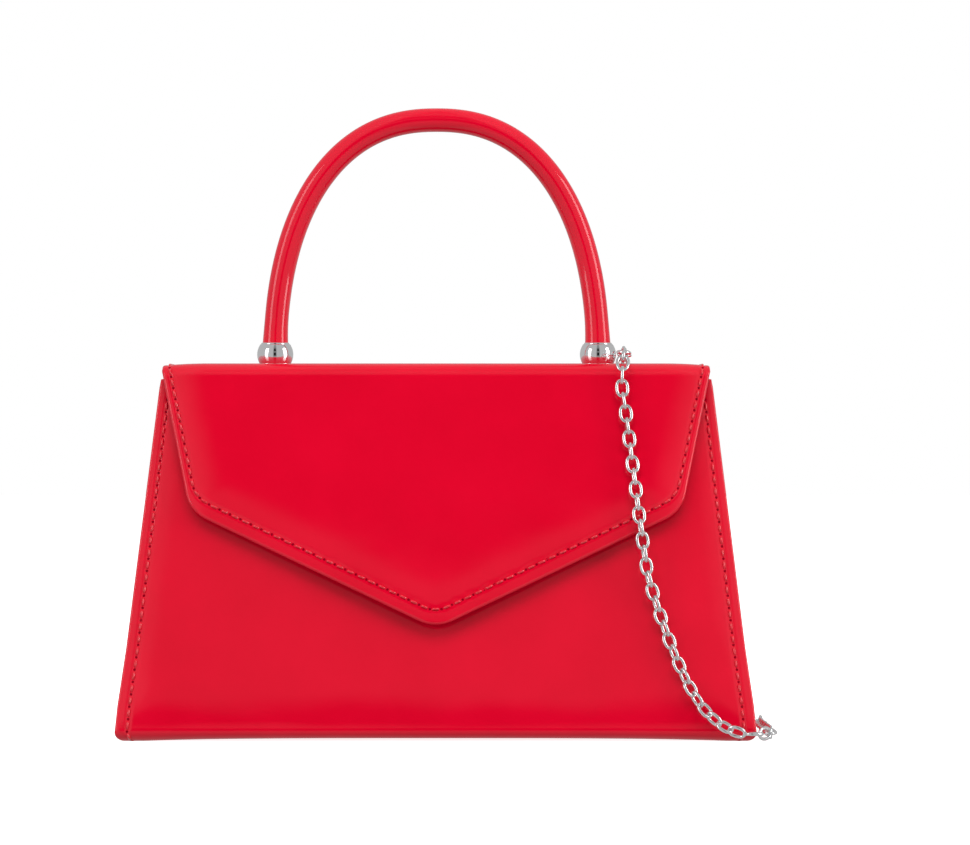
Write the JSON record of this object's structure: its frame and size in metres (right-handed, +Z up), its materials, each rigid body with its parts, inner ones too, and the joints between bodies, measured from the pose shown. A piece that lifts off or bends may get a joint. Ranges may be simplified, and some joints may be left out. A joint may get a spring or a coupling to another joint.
{
  "type": "clutch purse",
  "caption": "Structured patent clutch purse with a pointed magnetic front flap, an arched tubular top handle on ball feet and a draped link chain strap.",
  "frame": {"origin": "on the surface the purse stands on, under the middle of the base", "axes": "+X across the purse to the viewer's right as seen from the front, -Y is the front, +Z up"},
  "size_m": [0.2274, 0.1513, 0.2192],
  "materials": {
    "patent_red": "high gloss patent",
    "lining_black": "matte woven",
    "board": "matte",
    "chrome": "polished",
    "zinc_plate": "satin",
    "magnet": "matte",
    "core": "matte"
  },
  "bodies": {
    "bag": {"body_wrap": "patent_red", "gusset_left": "patent_red", "gusset_right": "patent_red", "front_board": "board", "back_board": "board", "base_board": "board", "lining": "lining_black", "slip_pocket": "lining_black", "back_hem": "patent_red", "magnet_cup": "zinc_plate", "magnet_ring": "magnet", "socket_backplate": "zinc_plate", "ring_tab_left": "patent_red", "ring_tab_right": "patent_red", "chain_right": "chrome", "chain_back": "chrome", "chain_coil": "chrome", "chain_left": "chrome"},
    "lid": {"top_strip": "patent_red", "lid_board": "board", "lid_lining": "lining_black", "handle_cover": "patent_red", "handle_core": "core", "bead_left": "chrome", "bead_right": "chrome", "screw_left": "zinc_plate", "screw_right": "zinc_plate", "washer_left": "zinc_plate", "washer_right": "zinc_plate"},
    "flap": {"flap_panel": "patent_red", "flap_board": "board", "flap_lining": "lining_black", "magnet_stud": "zinc_plate", "stud_backplate": "zinc_plate"},
    "drape": {"chain_drape": "chrome"},
    "ring_left": {"d_ring_left": "chrome", "clasp_body_left": "chrome", "gate_pin_left": "zinc_plate"},
    "ring_right": {"d_ring_right": "chrome", "clasp_body_right": "chrome", "gate_pin_right": "zinc_plate"},
    "gate_left": {"clasp_gate_left": "chrome"},
    "gate_right": {"clasp_gate_right": "chrome"}
  },
  "joints": [
    {"name": "lid_hinge", "type": "hinge", "parent": "bag", "child": "lid", "pos_m": [0, 0.015, 0.1262], "axis": [-1, 0, 0], "range_deg": [0, 95]},
    {"name": "flap_fold", "type": "hinge", "parent": "lid", "child": "flap", "pos_m": [0, -0.0165, 0.1274], "axis": [-1, 0, 0], "range_deg": [0, 95]},
    {"name": "chain_flip", "type": "hinge", "parent": "bag", "child": "drape", "pos_m": [0.105, -0.0411, 0.0031], "axis": [-0.2905, 0.4527, 0.843], "range_deg": [0, 150], "deforming": ["chain_drape"]},
    {"name": "ring_swing_left", "type": "hinge", "parent": "bag", "child": "ring_left", "pos_m": [-0.0454, 0.02245, 0.10022], "axis": [1, 0, 0], "range_deg": [0, 60]},
    {"name": "ring_swing_right", "type": "hinge", "parent": "bag", "child": "ring_right", "pos_m": [0.0454, 0.02245, 0.10022], "axis": [1, 0, 0], "range_deg": [0, 60]},
    {"name": "gate_press_left", "type": "hinge", "parent": "ring_left", "child": "gate_left", "pos_m": [-0.0454, 0.03075, 0.08335], "axis": [1, 0, 0], "range_deg": [0, 25], "stiffness_Nm_per_rad": 0.004, "springref_deg": -5.73},
    {"name": "gate_press_right", "type": "hinge", "parent": "ring_right", "child": "gate_right", "pos_m": [0.0454, 0.03075, 0.08335], "axis": [1, 0, 0], "range_deg": [0, 25], "stiffness_Nm_per_rad": 0.004, "springref_deg": -5.73}
  ],
  "couplings": [
    {"joint": "flap_fold", "follows": "lid_hinge", "ratio": 1},
    {"joint": "chain_flip", "follows": "lid_hinge", "ratio": 1.5}
  ]
}
